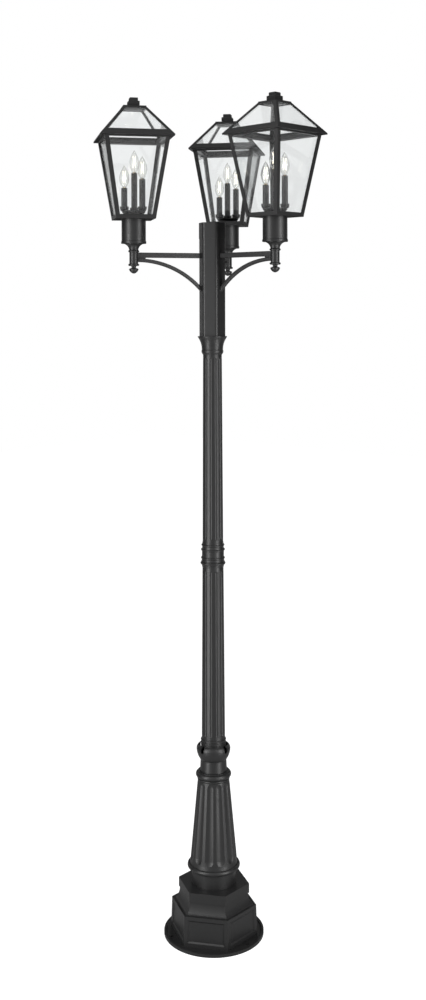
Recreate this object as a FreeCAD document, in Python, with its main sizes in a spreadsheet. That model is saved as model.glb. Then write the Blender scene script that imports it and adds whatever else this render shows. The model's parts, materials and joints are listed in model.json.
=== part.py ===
"""Triple head garden lamp post.

A hexagonal panelled plinth on a round flange carries a fluted bell, a leaf collar and two fluted
shafts joined by a ringed coupling.  A hexagonal head tube carries three arms, and each arm holds a
four-sided glazed lantern with a cluster of three candle lamps.

Millimetres.  The origin is on the ground, on the post's axis, +Z up.  Arm 1 points along +X, and
arms 2 and 3 stand 120 and 240 degrees further round.
"""

import FreeCAD, Part

import math
import os
import re

import Sketcher
from FreeCAD import Placement, Rotation, Vector

doc = FreeCAD.newDocument("LampPost")


# ---------------------------------------------------------------------------------------------
# Driving sizes: millimetres, degrees and counts
# ---------------------------------------------------------------------------------------------

SIZES = {
    # foot flange and lower hexagonal tier; a hexagon's radius is measured to its corners
    "flange_radius": 181.0,
    "flange_thickness": 8.0,
    "flange_rim_width": 8.0,
    "flange_rim_height": 3.0,
    "bolt_circle_radius": 158.0,
    "bolt_hole_radius": 6.5,
    "tier_foot_radius": 160.5,
    "tier_top_radius": 156.5,
    "tier_height": 113.0,
    "panel_border": 13.0,
    "panel_depth": 3.5,
    "panel_bevel": 5.0,
    "casting_wall": 6.0,
    # upper tier with concave sides
    "cove_foot_radius": 149.0,
    "cove_top_radius": 127.0,
    "cove_height": 74.0,
    "cove_slab_radius": 131.0,
    "cove_slab_height": 33.0,
    # neck drum, foot ring, fluted cone and knob
    "drum_radius": 80.0,
    "drum_height": 51.5,
    "foot_ring_bulge": 9.0,
    "foot_ring_seat_radius": 86.5,
    "bell_foot_radius": 84.5,
    "bell_foot_height": 81.0,
    "bell_top_radius": 57.4,
    "bell_cone_height": 290.0,
    "bell_band_bulge": 4.0,
    "bell_band_seat_radius": 55.0,
    "bell_bead_bulge": 1.5,
    "knob_bulge": 10.5,
    "knob_seat_radius": 54.0,
    "bell_flute_foot_width": 39.0,
    "bell_flute_top_width": 26.0,
    "bell_flute_foot_depth": 4.5,
    "bell_flute_top_depth": 3.2,
    "bell_flute_margin": 3.0,
    # leaf collar
    "neck_radius": 49.0,
    "neck_top_radius": 47.0,
    "neck_height": 41.0,
    "socket_radius": 43.5,
    "socket_height": 118.0,
    "socket_bead_bulge": 2.6,
    "leaf_radius": 61.5,
    "leaf_tip_radius": 52.0,
    "leaf_height": 54.0,
    "leaf_thickness": 4.0,
    "leaf_notch_half": 7.0,
    "leaf_notch_foot": 38.0,
    # fluted shafts, their spigots and the ringed coupling between them
    "flute_count": 12.0,
    "flute_radius": 8.5,
    "flute_depth": 2.8,
    "flute_margin": 9.0,
    "shaft_wall": 4.0,
    "lower_shaft_foot_radius": 42.4,
    "lower_shaft_top_radius": 38.4,
    "lower_shaft_length": 622.0,
    "upper_shaft_foot_radius": 37.5,
    "upper_shaft_top_radius": 34.2,
    "upper_shaft_length": 682.0,
    "spigot_length": 60.0,
    "spigot_wall": 5.0,
    "spigot_clearance": 0.3,
    "coupling_length": 90.0,
    "coupling_radius": 41.0,
    "coupling_waist_radius": 40.0,
    "coupling_ring_bulge": 3.5,
    "set_screw_radius": 3.0,
    # flared capital and hexagonal head
    "capital_bead_height": 17.0,
    "capital_bead_foot": 2.0,
    "capital_bead_bend": 14.0,
    "capital_neck_radius": 38.7,
    "capital_lip_radius": 53.2,
    "capital_lip_height": 4.0,
    "capital_height": 67.0,
    "capital_boss_height": 30.0,
    "head_radius": 49.7,
    "head_corner_bend": 12.0,
    "head_wall": 4.0,
    "head_tube_length": 355.0,
    "cap_height": 58.0,
    "cap_overhang": 1.2,
    "cap_plug_length": 20.0,
    # arms
    "reach": 294.5,
    "bar_rise": 292.8,
    "bar_height": 18.5,
    "bar_width": 14.0,
    "bar_edge_bend": 2.5,
    "brace_thickness": 13.0,
    "brace_width": 13.0,
    "brace_drop": 18.5,
    "brace_bend": 320.0,
    "knuckle_length": 27.0,
    "wire_bore_radius": 4.5,
    # turned holders and pendants; heights count from the bar's centre line
    "holder_radius": 15.6,
    "holder_ring_bulge": 4.0,
    "holder_foot_drop": 39.0,
    "holder_ring_gap": 0.4,
    "holder_neck_radius": 16.5,
    "holder_flare_radius": 31.5,
    "fitter_rise": 40.6,
    "post_fitter_radius": 38.0,
    "post_fitter_wall": 4.0,
    "pendant_neck_radius": 7.5,
    "pendant_radius": 17.0,
    "pendant_tip_radius": 2.0,
    "pendant_neck_length": 11.5,
    "pendant_length": 27.0,
    # lantern: fitter and floor plate; heights count from the fitter's foot
    "turning_clearance": 0.1,
    "seat_clearance": 0.3,
    "fitter_radius": 43.3,
    "fitter_ring_radius": 45.0,
    "fitter_ring_height": 9.0,
    "fitter_height": 86.6,
    "floor_thickness": 3.0,
    "fitter_screw_height": 24.0,
    # lantern: frame and side glass
    "body_foot_half": 70.8,
    "body_top_half": 115.4,
    "body_height": 283.0,
    "frame_thickness": 3.0,
    "corner_flange": 15.0,
    "foot_rail_height": 11.0,
    "head_rail_height": 5.0,
    "curb_half": 100.0,
    "curb_height": 10.5,
    "pane_thickness": 3.0,
    "pane_clearance": 0.2,
    "pane_corner_gap": 1.0,
    # lantern: roof
    "curb_clearance": 1.0,
    "roof_seat_clearance": 0.2,
    "eave_half": 130.0,
    "eave_lip_height": 5.0,
    "soffit_thickness": 3.0,
    "roof_top_half": 41.0,
    "roof_rise": 107.0,
    "roof_thickness": 4.5,
    "eave_rail_height": 17.0,
    "hip_flange": 13.0,
    "cap_plate_thickness": 10.0,
    "cap_plate_rise": 3.0,
    "roof_pane_thickness": 3.9,
    "finial_neck_half": 14.0,
    "finial_neck_height": 5.0,
    "finial_foot_half": 20.2,
    "finial_foot_height": 15.0,
    "finial_top_half": 14.8,
    "finial_top_height": 12.4,
    "finial_chamfer": 1.5,
    # candle cluster
    "candle_circle_radius": 37.0,
    "hub_boss_radius": 15.5,
    "hub_disc_radius": 42.0,
    "hub_rise": 24.0,
    "hub_disc_thickness": 4.0,
    "cup_foot_radius": 12.5,
    "cup_radius": 16.0,
    "cup_height": 15.0,
    "cup_wall": 1.6,
    "cup_floor": 3.0,
    "sleeve_radius": 11.0,
    "sleeve_wall": 1.0,
    "low_sleeve_length": 78.0,
    "mid_sleeve_length": 109.5,
    "high_sleeve_length": 137.5,
    "holder_sleeve_clearance": 0.4,
    "lamp_holder_length": 30.0,
    "lamp_holder_drop": 1.0,
    "lamp_holder_stem_radius": 4.0,
    # candle lamp; heights count from its sleeve's top
    "screw_base_radius": 5.9,
    "screw_base_length": 15.0,
    "lamp_clearance": 0.1,
    "lamp_neck_radius": 5.8,
    "lamp_neck_height": 1.5,
    "lamp_radius": 17.5,
    "lamp_belly_height": 34.0,
    "lamp_height": 82.0,
    "lamp_glass_thickness": 0.8,
    "lamp_tip_radius": 1.2,
    "filament_circle_radius": 5.0,
    "filament_radius": 0.8,
    "filament_foot": 20.0,
    "filament_length": 38.0,
    "stem_radius": 2.6,
    # how each lantern and candle cluster is turned about its own axis
    "lantern_turn_1": -2.7,
    "lantern_turn_2": 2.2,
    "lantern_turn_3": -6.9,
    "candle_turn": 12.0,
}

HEX_SIDES = 6
LEAF_COUNT = 4
ARM_COUNT = 3
CANDLES = ("low", "mid", "high")
CANDLE_STEP = {"low": 240, "mid": 0, "high": 120}

sheet = doc.addObject("Spreadsheet::Sheet", "Size")
for row, (alias, number) in enumerate(SIZES.items(), start=1):
    sheet.set(f"A{row}", alias)
    sheet.set(f"B{row}", str(number))
    sheet.setAlias(f"B{row}", alias)
doc.recompute()

nodes = {}


# ---------------------------------------------------------------------------------------------
# Bound sizes, sketches and features
# ---------------------------------------------------------------------------------------------

def bound(text):
    """The expression with each sheet alias written as a reference to its cell."""
    return re.sub(r"[a-z][a-z_0-9]*", lambda word: "Size." + word[0] if word[0] in SIZES else word[0], text)


def number(text):
    """The present value of an expression."""
    result = sheet.evalExpression(bound(text))
    return float(getattr(result, "Value", result))


def bind(thing, prop, text):
    """Ties a property to an expression of the sheet's sizes."""
    thing.setExpression(prop, bound(text))


def place(thing, along_x="0", along_y="0", up="0", turn="0"):
    """Ties a sub-part's place, and its turn about Z, to the sheet."""
    thing.Placement = Placement(Vector(0, 0, 0), Rotation(Vector(0, 0, 1), number(turn) or 360.0))
    bind(thing, "Placement.Base.x", along_x)
    bind(thing, "Placement.Base.y", along_y)
    bind(thing, "Placement.Base.z", up)
    if turn != "0":
        bind(thing, "Placement.Rotation.Angle", turn)


def arc_between(start, end, bend):
    """The short arc between two points; a positive bend turns left on the way."""
    chord = end - start
    rise = math.sqrt(max(bend * bend - chord.Length ** 2 / 4.0, 0.0))
    left = Vector(-chord.y, chord.x, 0).normalize()
    centre = (start + end) / 2.0 + left * math.copysign(rise, bend)
    first, last = (start, end) if bend > 0 else (end, start)
    angles = [math.atan2(point.y - centre.y, point.x - centre.x) for point in (first, last)]
    return Part.ArcOfCircle(Part.Circle(centre, Vector(0, 0, 1), abs(bend)), *angles)


def pin(sketch, edge, end, axis, text, name):
    """Holds one coordinate of a sketch point at an expression's value."""
    if text == "0":
        line = -2 if axis == "X" else -1
        sketch.addConstraint(Sketcher.Constraint("PointOnObject", edge, end, line))
        return
    value = number(text)
    index = sketch.addConstraint(Sketcher.Constraint("Distance" + axis, -1, 1, edge, end, value))
    sketch.renameConstraint(index, name)
    bind(sketch, "Constraints." + name, text)


def new_sketch(body, name, plane, lift="0", shift=("0", "0")):
    """A sketch on one of the body's own planes, moved along its normal and in the plane."""
    sketch = body.newObject("Sketcher::SketchObject", name)
    support = next(item for item in body.Origin.OriginFeatures if item.Role == plane)
    sketch.AttachmentSupport = [(support, "")]
    sketch.MapMode = "FlatFace"
    for letter, text in zip("xyz", (*shift, lift)):
        if text != "0":
            bind(sketch, "AttachmentOffset.Base." + letter, text)
    return sketch


def outline(body, name, plane, corners, lift="0", shift=("0", "0"), axis_ends=None):
    """A closed sketch through the corners.

    A corner is (x, y), or (x, y, bend) where the way to the next corner is an arc: a bend that
    starts with a minus sign turns right, any other turns left, and "half" is a half circle that
    turns left.  axis_ends names the two corners that a construction line joins, as an axis to turn
    the outline about.
    """
    sketch = new_sketch(body, name, plane, lift, shift)
    points = [Vector(number(corner[0]), number(corner[1]), 0) for corner in corners]
    starts, ends = [], []
    for index, corner in enumerate(corners):
        here, there = points[index], points[(index + 1) % len(points)]
        if len(corner) == 3 and corner[2] == "half":
            left = True
            edge = sketch.addGeometry(arc_between(here, there, (there - here).Length / 2.0))
            sketch.addConstraint(Sketcher.Constraint("Symmetric", edge, 1, edge, 2, edge, 3))
        elif len(corner) == 3:
            text = corner[2].lstrip("-")
            left = not corner[2].startswith("-")
            edge = sketch.addGeometry(arc_between(here, there, number(text) * (1 if left else -1)))
            radius = sketch.addConstraint(Sketcher.Constraint("Radius", edge, number(text)))
            sketch.renameConstraint(radius, f"bend{index}")
            bind(sketch, f"Constraints.bend{index}", text)
        else:
            left = True
            edge = sketch.addGeometry(Part.LineSegment(here, there))
        starts.append((edge, 1 if left else 2))
        ends.append((edge, 2 if left else 1))
    for index, corner in enumerate(corners):
        sketch.addConstraint(Sketcher.Constraint("Coincident", *ends[index - 1], *starts[index]))
        pin(sketch, *starts[index], "X", corner[0], f"x{index}")
        pin(sketch, *starts[index], "Y", corner[1], f"y{index}")
    if axis_ends:
        first, last = axis_ends
        axis = sketch.addGeometry(Part.LineSegment(points[first], points[last]), True)
        sketch.addConstraint(Sketcher.Constraint("Coincident", axis, 1, *starts[first]))
        sketch.addConstraint(Sketcher.Constraint("Coincident", axis, 2, *starts[last]))
    return sketch


def ring(body, name, plane, radius, lift="0", centre=("0", "0")):
    """A sketch of one circle."""
    sketch = new_sketch(body, name, plane, lift)
    middle = Vector(number(centre[0]), number(centre[1]), 0)
    edge = sketch.addGeometry(Part.Circle(middle, Vector(0, 0, 1), number(radius)))
    index = sketch.addConstraint(Sketcher.Constraint("Radius", edge, number(radius)))
    sketch.renameConstraint(index, "round")
    bind(sketch, "Constraints.round", radius)
    pin(sketch, edge, 3, "X", centre[0], "across")
    pin(sketch, edge, 3, "Y", centre[1], "up")
    return sketch


def new_body(label):
    """An empty body for one piece."""
    body = doc.addObject("PartDesign::Body", label)
    body.Label = label
    return body


def feature(body, kind, name, profile, **settings):
    """Adds a feature to the body; text settings are expressions, others are plain values."""
    made = body.newObject("PartDesign::" + kind, name)
    made.Profile = profile
    for prop, setting in settings.items():
        if isinstance(setting, str) and prop in ("Length", "Angle"):
            bind(made, prop, setting)
        else:
            setattr(made, prop, setting)
    body.Tip = made
    return made


def turned(body, name, profile, kind="Revolution", axis="V_Axis", **settings):
    """Turns a profile about an axis of its sketch."""
    return feature(body, kind, name, profile, ReferenceAxis=(profile, [axis]), **settings)


def through(body, name, profile):
    """Cuts a profile right through the body, both ways."""
    return feature(body, "Pocket", name, profile, Type="ThroughAll", Midplane=True)


def lofted(body, name, profiles, kind="AdditiveLoft", ruled=True):
    """A loft through sketches that lie one above another."""
    made = feature(body, kind, name, profiles[0], Ruled=ruled)
    made.Sections = profiles[1:]
    return made


def repeated(body, name, originals, count):
    """Repeats features evenly about the body's Z axis; the count is an expression."""
    made = body.newObject("PartDesign::PolarPattern", name)
    made.Originals = originals
    axis = next(item for item in body.Origin.OriginFeatures if item.Role == "Z_Axis")
    made.Axis = (axis, [""])
    made.Angle = 360
    bind(made, "Occurrences", count)
    body.Tip = made
    return made


def hexagon(radius, first_corner=30):
    """Corners of a hexagon whose faces look along 0, 60 and so on to 300 degrees."""
    turns = [first_corner + 360 // HEX_SIDES * side for side in range(HEX_SIDES)]
    return [(f"({radius}) * cos({turn})", f"({radius}) * sin({turn})") for turn in turns]


def rounded_hexagon(radius, bend):
    """A hexagon with bent corners, given to its sharp corners."""
    step = 360 // HEX_SIDES
    flat = f"(({radius}) * cos(30))"
    half_side = f"(({radius}) / 2 - ({bend}) * tan(30))"
    corners = []
    for side in range(HEX_SIDES):
        turn = step * side
        for sign, arc in (("-", ()), ("+", (bend,))):
            reverse = "+" if sign == "-" else "-"
            corners.append((f"{flat} * cos({turn}) {reverse} {half_side} * sin({turn})",
                            f"{flat} * sin({turn}) {sign} {half_side} * cos({turn})", *arc))
    return corners


def square(half):
    """Corners of a square about the origin."""
    return [(f"-({half})", f"-({half})"), (half, f"-({half})"), (half, half), (f"-({half})", half)]


def box_outline(low_x, high_x, low_y, high_y):
    """Corners of a rectangle between four limits."""
    return [(low_x, low_y), (high_x, low_y), (high_x, high_y), (low_x, high_y)]


def at_height(foot, top, rise, height):
    """A straight taper's size at a height above its foot."""
    return f"(({foot}) + (({top}) - ({foot})) * ({height}) / ({rise}))"


def upright_bend(rise, run):
    """Radius of an arc that stands upright at one end, from its rise and its run across."""
    return f"((({rise})^2 + ({run})^2) / (2 * ({run})))"


def flute(body, name, foot_radius, top_radius, foot, top, cut_foot, cut_top, depth_foot, depth_top):
    """One round-ended flute down a taper, repeated round the shaft.

    The cutter is a long body of revolution whose axis runs outside the taper and parallel to it.
    foot and top are the heights of its two end centres, where foot_radius and top_radius are the
    taper's radii.
    """
    lean = f"atan((({foot_radius}) - ({top_radius})) / (({top}) - ({foot})))"
    low_x = f"(({foot_radius}) + (({cut_foot}) - ({depth_foot})) * cos({lean}))"
    low_y = f"(({foot}) + (({cut_foot}) - ({depth_foot})) * sin({lean}))"
    high_x = f"(({top_radius}) + (({cut_top}) - ({depth_top})) * cos({lean}))"
    high_y = f"(({top}) + (({cut_top}) - ({depth_top})) * sin({lean}))"
    path = f"atan(({low_x} - {high_x}) / ({high_y} - {low_y}))"
    corners = [
        (f"{low_x} + ({cut_foot}) * sin({path})", f"{low_y} - ({cut_foot}) * cos({path})", f"-({cut_foot})"),
        (f"{low_x} - ({cut_foot}) * cos({path})", f"{low_y} - ({cut_foot}) * sin({path})"),
        (f"{high_x} - ({cut_top}) * cos({path})", f"{high_y} - ({cut_top}) * sin({path})", f"-({cut_top})"),
        (f"{high_x} - ({cut_top}) * sin({path})", f"{high_y} + ({cut_top}) * cos({path})"),
    ]
    cutter = outline(body, name + "_outline", "XZ_Plane", corners, axis_ends=(0, 3))
    first = turned(body, name, cutter, kind="Groove", axis="Axis0", Angle="360")
    return repeated(body, name + "_ring", [first], "flute_count")


def solid_box(name, half, foot, height):
    """A square block about the Z axis."""
    block = doc.addObject("Part::Box", name)
    bind(block, "Length", f"2 * ({half})")
    bind(block, "Width", f"2 * ({half})")
    bind(block, "Height", height)
    bind(block, "Placement.Base.x", f"-({half})")
    bind(block, "Placement.Base.y", f"-({half})")
    bind(block, "Placement.Base.z", foot)
    return block


def rod(name, radius, foot, height, across="0", along="0"):
    """An upright cylinder."""
    made = doc.addObject("Part::Cylinder", name)
    bind(made, "Radius", radius)
    bind(made, "Height", height)
    bind(made, "Placement.Base.x", across)
    bind(made, "Placement.Base.y", along)
    bind(made, "Placement.Base.z", foot)
    return made


def side_pin(name, radius, inner, outer, height, turn):
    """A radial cylinder at a height, between two distances from the Z axis."""
    made = doc.addObject("Part::Cylinder", name)
    bind(made, "Radius", radius)
    bind(made, "Height", f"({outer}) - ({inner})")
    heading = Rotation(Vector(0, 0, 1), turn).multiply(Rotation(Vector(0, 1, 0), 90))
    made.Placement = Placement(Vector(0, 0, 0), heading)
    bind(made, "Placement.Base.x", f"({inner}) * cos({turn})")
    bind(made, "Placement.Base.y", f"({inner}) * sin({turn})")
    bind(made, "Placement.Base.z", height)
    return made


def cut(name, base, tool):
    """One shape less another."""
    made = doc.addObject("Part::Cut", name)
    made.Base = base
    made.Tool = tool
    return made


def joined(name, shapes):
    """Shapes fused into one solid."""
    made = doc.addObject("Part::MultiFuse", name)
    made.Shapes = shapes
    return made


def group(name, shapes):
    """Separate solids kept together as one sub-part, or a placed copy of one shape."""
    made = doc.addObject("Part::Compound", name)
    made.Label = name
    made.Links = shapes
    return made


# ---------------------------------------------------------------------------------------------
# Heights of the stacked pieces above the ground
# ---------------------------------------------------------------------------------------------

COVE_FOOT = "tier_height"
BELL_FOOT = COVE_FOOT + " + cove_height"
FOOT_RING_TOP = "drum_height + 2 * foot_ring_bulge"
BELL_CONE_TOP = "bell_foot_height + bell_cone_height"
KNOB_FOOT = BELL_CONE_TOP + " + 2 * bell_band_bulge"
KNOB_TOP = KNOB_FOOT + " + 2 * knob_bulge"
BELL_HEIGHT = KNOB_TOP + " + 2 * bell_bead_bulge"
COLLAR_FOOT = BELL_FOOT + " + " + BELL_HEIGHT
LOWER_SHAFT_FOOT = COLLAR_FOOT + " + socket_height"
COUPLING_FOOT = LOWER_SHAFT_FOOT + " + lower_shaft_length"
UPPER_SHAFT_FOOT = COUPLING_FOOT + " + coupling_length"
CAPITAL_FOOT = UPPER_SHAFT_FOOT + " + upper_shaft_length"
HEAD_FOOT = CAPITAL_FOOT + " + capital_height"
CAP_FOOT = HEAD_FOOT + " + head_tube_length"
BAR_CENTRE = HEAD_FOOT + " + bar_rise"
FITTER_FOOT = BAR_CENTRE + " + fitter_rise"

HEAD_FLAT = "(head_radius * cos(30))"
SCREW_TURN = 180
LOWER_BORE = "(lower_shaft_top_radius - flute_depth - shaft_wall)"
UPPER_BORE = "(upper_shaft_top_radius - flute_depth - shaft_wall)"
SCREW_INSET = "spigot_length / 2"


# ---------------------------------------------------------------------------------------------
# Base: flange, two hexagonal tiers, bell and leaf collar
# ---------------------------------------------------------------------------------------------

def base_flange():
    """Round flange with a raised rim and bolt holes, and the hollow panelled lower tier."""
    body = new_body("base_flange")
    rim_top = "flange_thickness + flange_rim_height"
    flange = outline(body, "flange_outline", "XZ_Plane", [
        ("tier_top_radius / 2", "0"),
        ("flange_radius", "0"),
        ("flange_radius", rim_top),
        ("flange_radius - flange_rim_width", rim_top),
        ("flange_radius - flange_rim_width - flange_rim_height", "flange_thickness"),
        ("tier_top_radius / 2", "flange_thickness"),
    ])
    turned(body, "flange", flange, Angle="360")
    lofted(body, "tier", [
        outline(body, "tier_foot", "XY_Plane", hexagon("tier_foot_radius")),
        outline(body, "tier_top", "XY_Plane", hexagon("tier_top_radius"), lift="tier_height"),
    ])
    wall = "casting_wall / cos(30)"
    lofted(body, "tier_hollow", [
        outline(body, "hollow_foot", "XY_Plane", hexagon(f"tier_foot_radius - {wall}")),
        outline(body, "hollow_top", "XY_Plane", hexagon(f"tier_top_radius - {wall}"),
                lift="tier_height - casting_wall"),
    ], kind="SubtractiveLoft")
    through(body, "tier_mouth", ring(body, "tier_mouth_ring", "XY_Plane", "drum_radius"))
    foot, top = "flange_thickness + panel_border", "tier_height - panel_border"
    levels = (
        (f"{foot} - panel_bevel", "+"),
        (f"{foot} + panel_bevel", "-"),
        (f"{top} - panel_bevel", "-"),
        (f"{top} + panel_bevel", "+"),
    )
    sections = []
    for index, (level, side) in enumerate(levels):
        radius = at_height("tier_foot_radius", "tier_top_radius", "tier_height", level)
        face = f"{radius} * cos(30)"
        half = f"{radius} / 2 - panel_border"
        sections.append(outline(body, f"panel_{index}", "XY_Plane", [
            (f"{face} {side} panel_depth", f"-({half} {side} panel_bevel)"),
            (f"{face} + 2 * panel_depth", f"-({half} + 2 * panel_bevel)"),
            (f"{face} + 2 * panel_depth", f"{half} + 2 * panel_bevel"),
            (f"{face} {side} panel_depth", f"{half} {side} panel_bevel"),
        ], lift=level))
    panel = lofted(body, "panel", sections, kind="SubtractiveLoft")
    repeated(body, "panels", [panel], str(HEX_SIDES))
    hole = through(body, "bolt_hole", ring(body, "bolt_hole_ring", "XY_Plane", "bolt_hole_radius",
                                           centre=("bolt_circle_radius", "0")))
    repeated(body, "bolt_holes", [hole], str(ARM_COUNT))
    nodes["base_flange"] = body


def plinth_cove():
    """Upper hexagonal tier: a slab on concave sides, hollow inside."""
    body = new_body("plinth_cove")
    cove_rise = "(cove_height - cove_slab_height)"
    bands = 10
    sections = []
    for band in range(bands + 1):
        sweep = 90 * band / bands
        radius = f"cove_foot_radius - (cove_foot_radius - cove_top_radius) * sin({sweep})"
        level = f"{cove_rise} * (1 - cos({sweep}))"
        sections.append(outline(body, f"cove_{band}", "XY_Plane", hexagon(radius), lift=level))
    lofted(body, "cove", sections)
    slab = outline(body, "slab_outline", "XY_Plane", hexagon("cove_slab_radius"), lift=cove_rise)
    feature(body, "Pad", "slab", slab, Length="cove_slab_height")
    inner = "cove_top_radius - casting_wall / cos(30)"
    hollow = outline(body, "cove_hollow_outline", "XY_Plane", hexagon(inner))
    feature(body, "Pocket", "cove_hollow", hollow, Length="cove_height - casting_wall", Reversed=True)
    through(body, "cove_mouth", ring(body, "cove_mouth_ring", "XY_Plane", "drum_radius - 2 * casting_wall"))
    nodes["plinth_cove"] = body
    place(body, up=COVE_FOOT)


def base_bell():
    """Neck drum, foot ring, fluted cone, band, knob ring and bead, bored right through."""
    body = new_body("base_bell")
    inner = "drum_radius - 2 * casting_wall"
    neck_bore = "bell_top_radius - 2 * casting_wall"
    profile = outline(body, "bell_outline", "XZ_Plane", [
        (inner, "0"),
        ("drum_radius", "0"),
        ("drum_radius", "drum_height"),
        ("foot_ring_seat_radius", "drum_height", "half"),
        ("foot_ring_seat_radius", FOOT_RING_TOP),
        ("bell_foot_radius", "bell_foot_height"),
        ("bell_top_radius", BELL_CONE_TOP),
        ("bell_band_seat_radius", BELL_CONE_TOP, "half"),
        ("bell_band_seat_radius", KNOB_FOOT),
        ("knob_seat_radius", KNOB_FOOT, "half"),
        ("knob_seat_radius", KNOB_TOP),
        ("bell_band_seat_radius", KNOB_TOP, "half"),
        ("bell_band_seat_radius", BELL_HEIGHT),
        (neck_bore, BELL_HEIGHT),
        (neck_bore, BELL_CONE_TOP),
        (inner, "bell_foot_height"),
    ])
    turned(body, "bell", profile, Angle="360")
    cut_foot = "((bell_flute_foot_width^2 / 4 + bell_flute_foot_depth^2) / (2 * bell_flute_foot_depth))"
    cut_top = "((bell_flute_top_width^2 / 4 + bell_flute_top_depth^2) / (2 * bell_flute_top_depth))"
    foot = "(bell_flute_margin + bell_flute_foot_width / 2)"
    top = "(bell_cone_height - bell_flute_margin - bell_flute_top_width / 2)"
    flute(body, "bell_flute",
          at_height("bell_foot_radius", "bell_top_radius", "bell_cone_height", foot),
          at_height("bell_foot_radius", "bell_top_radius", "bell_cone_height", top),
          f"bell_foot_height + {foot}", f"bell_foot_height + {top}", cut_foot, cut_top,
          "bell_flute_foot_depth", "bell_flute_top_depth")
    nodes["base_bell"] = body
    place(body, up=BELL_FOOT)


def leaf_collar():
    """Neck and socket with four broad leaves that curl in towards the shaft, and a spigot for it."""
    body = new_body("leaf_collar")
    spigot = f"({LOWER_BORE} - spigot_clearance)"
    bore = f"({spigot} - spigot_wall)"
    bead = "socket_bead_bulge"
    corners = [
        (bore, "0"),
        ("neck_radius", "0"),
        ("neck_top_radius", "neck_height"),
        ("socket_radius", "neck_height + leaf_thickness"),
    ]
    for centre in (9.6, 5.8, 2):
        corners.append(("socket_radius", f"socket_height - {centre + 1} * {bead}", "half"))
        corners.append(("socket_radius", f"socket_height - {centre - 1} * {bead}"))
    corners += [
        ("socket_radius", "socket_height"),
        (spigot, "socket_height"),
        (spigot, "socket_height + spigot_length"),
        (bore, "socket_height + spigot_length"),
    ]
    turned(body, "socket", outline(body, "socket_outline", "XZ_Plane", corners), Angle="360")
    root = "neck_height"
    belly = f"({root} + 0.72 * leaf_height)"
    tip = f"({root} + leaf_height)"
    inner_root = "neck_top_radius - 1"
    inner_tip = "leaf_tip_radius - leaf_thickness / 2"
    inner_belly = "leaf_radius - leaf_thickness"
    low_inside, high_inside = f"{root} + 1.5 * leaf_thickness", f"{tip} - leaf_thickness"
    leaf = outline(body, "leaf_outline", "XZ_Plane", [
        (inner_root, f"{root} - 2", upright_bend(f"{belly} - {root} + 2", f"leaf_radius - {inner_root}")),
        ("leaf_radius", belly, upright_bend(f"{tip} - {belly}", "leaf_radius - leaf_tip_radius")),
        ("leaf_tip_radius", tip),
        (inner_tip, high_inside,
         "-" + upright_bend(f"{high_inside} - {belly}", f"{inner_belly} - ({inner_tip})")),
        (inner_belly, belly,
         "-" + upright_bend(f"{belly} - ({low_inside})", f"{inner_belly} - ({inner_root})")),
        (inner_root, low_inside),
    ])
    turned(body, "leaves", leaf, Angle="360")
    notch_foot = f"{root} + leaf_notch_foot"
    notch_outline = outline(body, "notch_outline", "YZ_Plane", [
        ("-leaf_notch_half", notch_foot, "half"),
        ("leaf_notch_half", notch_foot),
        ("leaf_notch_half", f"{tip} + 1"),
        ("-leaf_notch_half", f"{tip} + 1"),
    ], lift=f"socket_radius + 1.1 * {bead}")
    notch = feature(body, "Pocket", "notch", notch_outline, Length="leaf_radius", Reversed=True)
    repeated(body, "notches", [notch], str(LEAF_COUNT))
    nodes["leaf_collar"] = body
    place(body, up=COLLAR_FOOT)


# ---------------------------------------------------------------------------------------------
# Shafts, coupling and capital
# ---------------------------------------------------------------------------------------------

def shaft(label, foot_radius, top_radius, length, bore, foot):
    """Fluted tapered tube with a set screw's hole near each end."""
    body = new_body(label)
    profile = outline(body, label + "_outline", "XZ_Plane", [
        (bore, "0"),
        (foot_radius, "0"),
        (top_radius, length),
        (bore, length),
    ])
    turned(body, label + "_tube", profile, Angle="360")
    end = "(flute_margin + flute_radius)"
    far = f"({length} - {end})"
    flute(body, label + "_flute",
          at_height(foot_radius, top_radius, length, end), at_height(foot_radius, top_radius, length, far),
          end, far, "flute_radius", "flute_radius", "flute_depth", "flute_depth")
    for name, level in (("foot", SCREW_INSET), ("top", f"{length} - {SCREW_INSET}")):
        hole = ring(body, f"{label}_{name}_hole", "YZ_Plane", "set_screw_radius", centre=("0", level))
        feature(body, "Pocket", f"{label}_{name}_drilling", hole, Length=f"2 * {foot_radius}")
    nodes[label] = body
    place(body, up=foot)


def coupling():
    """Ringed sleeve between the shafts, with a spigot up and one down."""
    body = new_body("coupling")
    low_spigot = f"({LOWER_BORE} - spigot_clearance)"
    high_spigot = f"({UPPER_BORE} - spigot_clearance)"
    bore = f"({high_spigot} - spigot_wall)"
    crown = "upper_shaft_foot_radius + 1"
    beads = (
        ("coupling_radius", "0.155 * coupling_length", "1.3 * coupling_ring_bulge"),
        ("coupling_radius", "0.24 * coupling_length", "0.4 * coupling_ring_bulge"),
        ("coupling_waist_radius", "0.365 * coupling_length", "coupling_ring_bulge"),
        ("coupling_waist_radius", "0.70 * coupling_length", "coupling_ring_bulge"),
        (crown, "0.885 * coupling_length", "coupling_ring_bulge"),
    )
    corners = [
        (bore, "-spigot_length"),
        (low_spigot, "-spigot_length"),
        (low_spigot, "0"),
        ("lower_shaft_top_radius + 0.6", "0"),
    ]
    for seat, level, bulge in beads:
        corners.append((seat, f"{level} - {bulge}", "half"))
        corners.append((seat, f"{level} + {bulge}"))
    corners += [
        (crown, "coupling_length"),
        (high_spigot, "coupling_length"),
        (high_spigot, "coupling_length + spigot_length"),
        (bore, "coupling_length + spigot_length"),
    ]
    turned(body, "sleeve", outline(body, "coupling_outline", "XZ_Plane", corners), Angle="360")
    nodes["coupling"] = body
    place(body, up=COUPLING_FOOT)


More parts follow.
